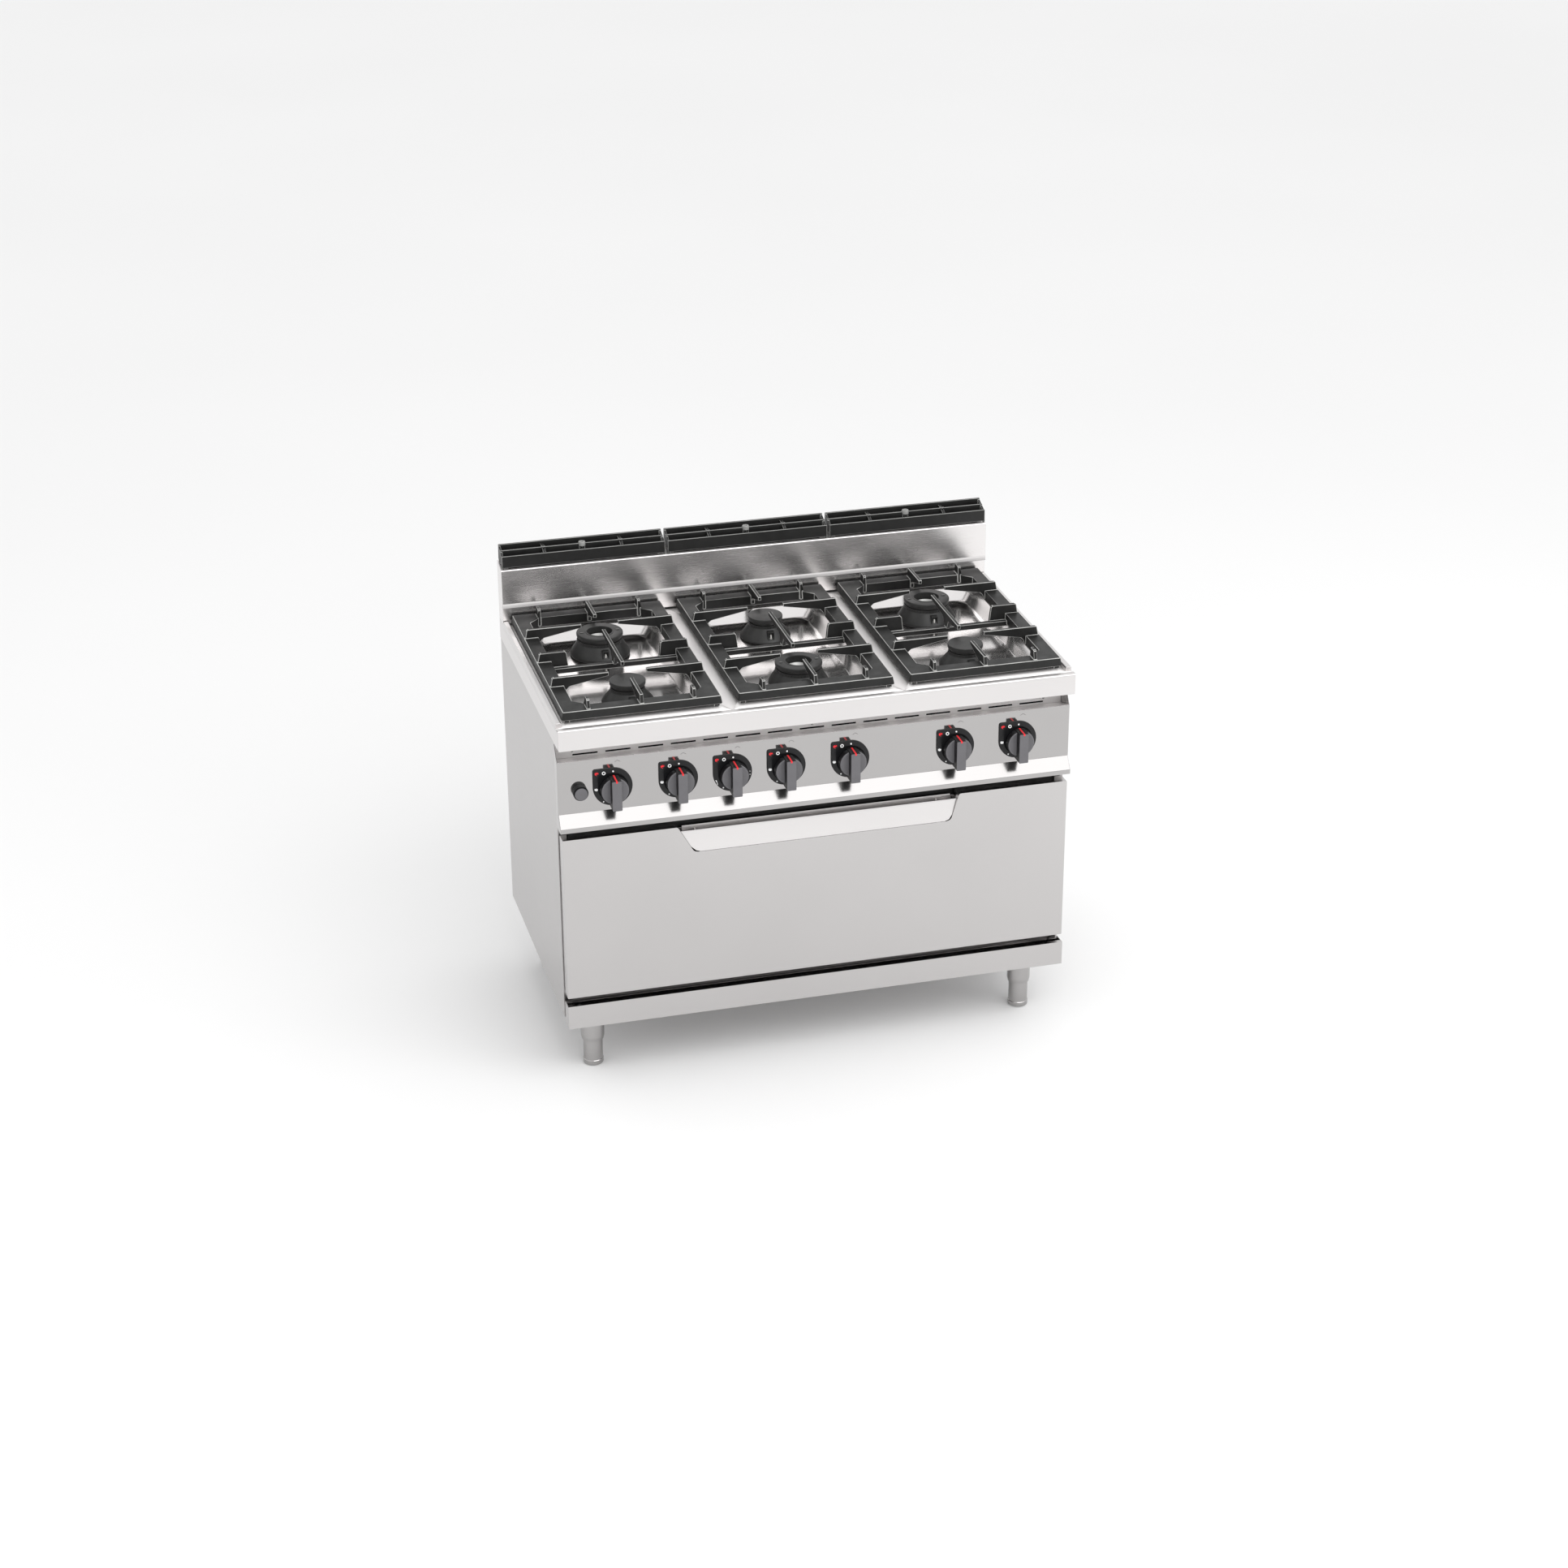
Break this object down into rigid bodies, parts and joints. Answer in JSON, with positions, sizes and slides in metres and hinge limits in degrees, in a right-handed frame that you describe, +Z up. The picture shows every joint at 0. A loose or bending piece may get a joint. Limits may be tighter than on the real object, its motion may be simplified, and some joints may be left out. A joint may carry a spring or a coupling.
{
  "type": "commercial gas range",
  "caption": "Free-standing stainless commercial gas range: open burners under lift-off cast-iron pan supports, front knobs, splashback with flue grilles, drop-down oven and adjustable legs.",
  "frame": {"origin": "on the floor, under the middle of the assembled range's box, with the legs wound in", "axes": "+X to the right seen from the front, +Y to the back, +Z up"},
  "size_m": [1.2, 0.717, 1.086],
  "materials": {
    "stainless": "satin",
    "stainless_polished": "gloss",
    "leg_steel": "satin",
    "zinc_steel": "satin",
    "cast_iron_enamelled": "satin",
    "burner_black": "matte",
    "flue_black": "satin",
    "black_enamel": "gloss",
    "knob_plastic": "satin",
    "brass": "satin",
    "gasket": "matte",
    "wire": "gloss"
  },
  "bodies": {
    "range_body": {"left_side_panel": "stainless", "right_side_panel": "stainless", "back_panel": "stainless", "base_frame": "stainless", "plinth_panel": "stainless", "control_panel": "stainless", "vent_rail": "stainless", "igniter_collar": "knob_plastic", "gas_manifold": "brass", "gas_inlet": "zinc_steel", "hob_top": "stainless_polished", "burner_base_left_rear": "burner_black", "burner_cap_left_rear": "burner_black", "burner_base_left_front": "burner_black", "burner_cap_left_front": "burner_black", "burner_base_centre_front": "burner_black", "burner_cap_centre_front": "burner_black", "burner_base_centre_rear": "burner_black", "burner_cap_centre_rear": "burner_black", "burner_base_right_front": "burner_black", "burner_cap_right_front": "burner_black", "burner_base_right_rear": "burner_black", "burner_cap_right_rear": "burner_black", "flue_grille_left": "flue_black", "flue_grille_centre": "flue_black", "flue_grille_right": "flue_black", "splashback": "stainless", "oven_cavity": "black_enamel", "oven_floor_plate": "burner_black", "oven_rack": "wire", "oven_burner": "zinc_steel", "flue_duct": "zinc_steel", "door_hinge_left": "zinc_steel", "door_hinge_right": "zinc_steel", "door_gasket": "gasket"},
    "oven_door": {"door_outer_panel": "stainless", "door_inner_panel": "stainless", "door_grip": "stainless_polished"},
    "stem_1": {"valve_stem_1": "zinc_steel"},
    "knob_1": {"knob_1": "knob_plastic"},
    "stem_2": {"valve_stem_2": "zinc_steel"},
    "knob_2": {"knob_2": "knob_plastic"},
    "stem_3": {"valve_stem_3": "zinc_steel"},
    "knob_3": {"knob_3": "knob_plastic"},
    "stem_4": {"valve_stem_4": "zinc_steel"},
    "knob_4": {"knob_4": "knob_plastic"},
    "stem_5": {"valve_stem_5": "zinc_steel"},
    "knob_5": {"knob_5": "knob_plastic"},
    "stem_6": {"valve_stem_6": "zinc_steel"},
    "knob_6": {"knob_6": "knob_plastic"},
    "stem_7": {"valve_stem_7": "zinc_steel"},
    "knob_7": {"knob_7": "knob_plastic"},
    "igniter": {"igniter_button": "knob_plastic"},
    "pan_support_left": {"grate_left": "cast_iron_enamelled"},
    "pan_support_centre": {"grate_centre": "cast_iron_enamelled"},
    "pan_support_right": {"grate_right": "cast_iron_enamelled"},
    "leg_front_left": {"foot_front_left": "leg_steel"},
    "leg_front_right": {"foot_front_right": "leg_steel"},
    "leg_rear_left": {"foot_rear_left": "leg_steel"},
    "leg_rear_right": {"foot_rear_right": "leg_steel"}
  },
  "joints": [
    {"name": "door_hinge", "type": "hinge", "parent": "range_body", "child": "oven_door", "pos_m": [0, -0.2975, 0.232], "axis": [1, 0, 0], "range_deg": [0, 90], "stiffness_Nm_per_rad": 6, "springref_deg": -28.65},
    {"name": "knob_1_press", "type": "slide", "parent": "range_body", "child": "stem_1", "axis": [0, 1, 0], "range_m": [0, 0.006], "stiffness_N_per_m": 400, "springref_m": -0.005},
    {"name": "knob_1_turn", "type": "hinge", "parent": "stem_1", "child": "knob_1", "pos_m": [-0.475, -0.309, 0.739], "axis": [0, -1, 0], "range_deg": [0, 150]},
    {"name": "knob_2_press", "type": "slide", "parent": "range_body", "child": "stem_2", "axis": [0, 1, 0], "range_m": [0, 0.006], "stiffness_N_per_m": 400, "springref_m": -0.005},
    {"name": "knob_2_turn", "type": "hinge", "parent": "stem_2", "child": "knob_2", "pos_m": [-0.325, -0.309, 0.739], "axis": [0, -1, 0], "range_deg": [0, 150]},
    {"name": "knob_3_press", "type": "slide", "parent": "range_body", "child": "stem_3", "axis": [0, 1, 0], "range_m": [0, 0.006], "stiffness_N_per_m": 400, "springref_m": -0.005},
    {"name": "knob_3_turn", "type": "hinge", "parent": "stem_3", "child": "knob_3", "pos_m": [-0.2, -0.309, 0.739], "axis": [0, -1, 0], "range_deg": [0, 260]},
    {"name": "knob_4_press", "type": "slide", "parent": "range_body", "child": "stem_4", "axis": [0, 1, 0], "range_m": [0, 0.006], "stiffness_N_per_m": 400, "springref_m": -0.005},
    {"name": "knob_4_turn", "type": "hinge", "parent": "stem_4", "child": "knob_4", "pos_m": [-0.075, -0.309, 0.739], "axis": [0, -1, 0], "range_deg": [0, 150]},
    {"name": "knob_5_press", "type": "slide", "parent": "range_body", "child": "stem_5", "axis": [0, 1, 0], "range_m": [0, 0.006], "stiffness_N_per_m": 400, "springref_m": -0.005},
    {"name": "knob_5_turn", "type": "hinge", "parent": "stem_5", "child": "knob_5", "pos_m": [0.075, -0.309, 0.739], "axis": [0, -1, 0], "range_deg": [0, 150]},
    {"name": "knob_6_press", "type": "slide", "parent": "range_body", "child": "stem_6", "axis": [0, 1, 0], "range_m": [0, 0.006], "stiffness_N_per_m": 400, "springref_m": -0.005},
    {"name": "knob_6_turn", "type": "hinge", "parent": "stem_6", "child": "knob_6", "pos_m": [0.325, -0.309, 0.739], "axis": [0, -1, 0], "range_deg": [0, 150]},
    {"name": "knob_7_press", "type": "slide", "parent": "range_body", "child": "stem_7", "axis": [0, 1, 0], "range_m": [0, 0.006], "stiffness_N_per_m": 400, "springref_m": -0.005},
    {"name": "knob_7_turn", "type": "hinge", "parent": "stem_7", "child": "knob_7", "pos_m": [0.475, -0.309, 0.739], "axis": [0, -1, 0], "range_deg": [0, 150]},
    {"name": "igniter_press", "type": "slide", "parent": "range_body", "child": "igniter", "axis": [0, 1, 0], "range_m": [0, 0.005], "stiffness_N_per_m": 300, "springref_m": -0.004},
    {"name": "pan_support_left_lift", "type": "slide", "parent": "range_body", "child": "pan_support_left", "axis": [0, 0, 1], "range_m": [0, 0.15]},
    {"name": "pan_support_centre_lift", "type": "slide", "parent": "range_body", "child": "pan_support_centre", "axis": [0, 0, 1], "range_m": [0, 0.15]},
    {"name": "pan_support_right_lift", "type": "slide", "parent": "range_body", "child": "pan_support_right", "axis": [0, 0, 1], "range_m": [0, 0.15]},
    {"name": "leg_front_left_adjust", "type": "slide", "parent": "range_body", "child": "leg_front_left", "axis": [0, 0, -1], "range_m": [0, 0.05]},
    {"name": "leg_front_right_adjust", "type": "slide", "parent": "range_body", "child": "leg_front_right", "axis": [0, 0, -1], "range_m": [0, 0.05]},
    {"name": "leg_rear_left_adjust", "type": "slide", "parent": "range_body", "child": "leg_rear_left", "axis": [0, 0, -1], "range_m": [0, 0.05]},
    {"name": "leg_rear_right_adjust", "type": "slide", "parent": "range_body", "child": "leg_rear_right", "axis": [0, 0, -1], "range_m": [0, 0.05]}
  ]
}
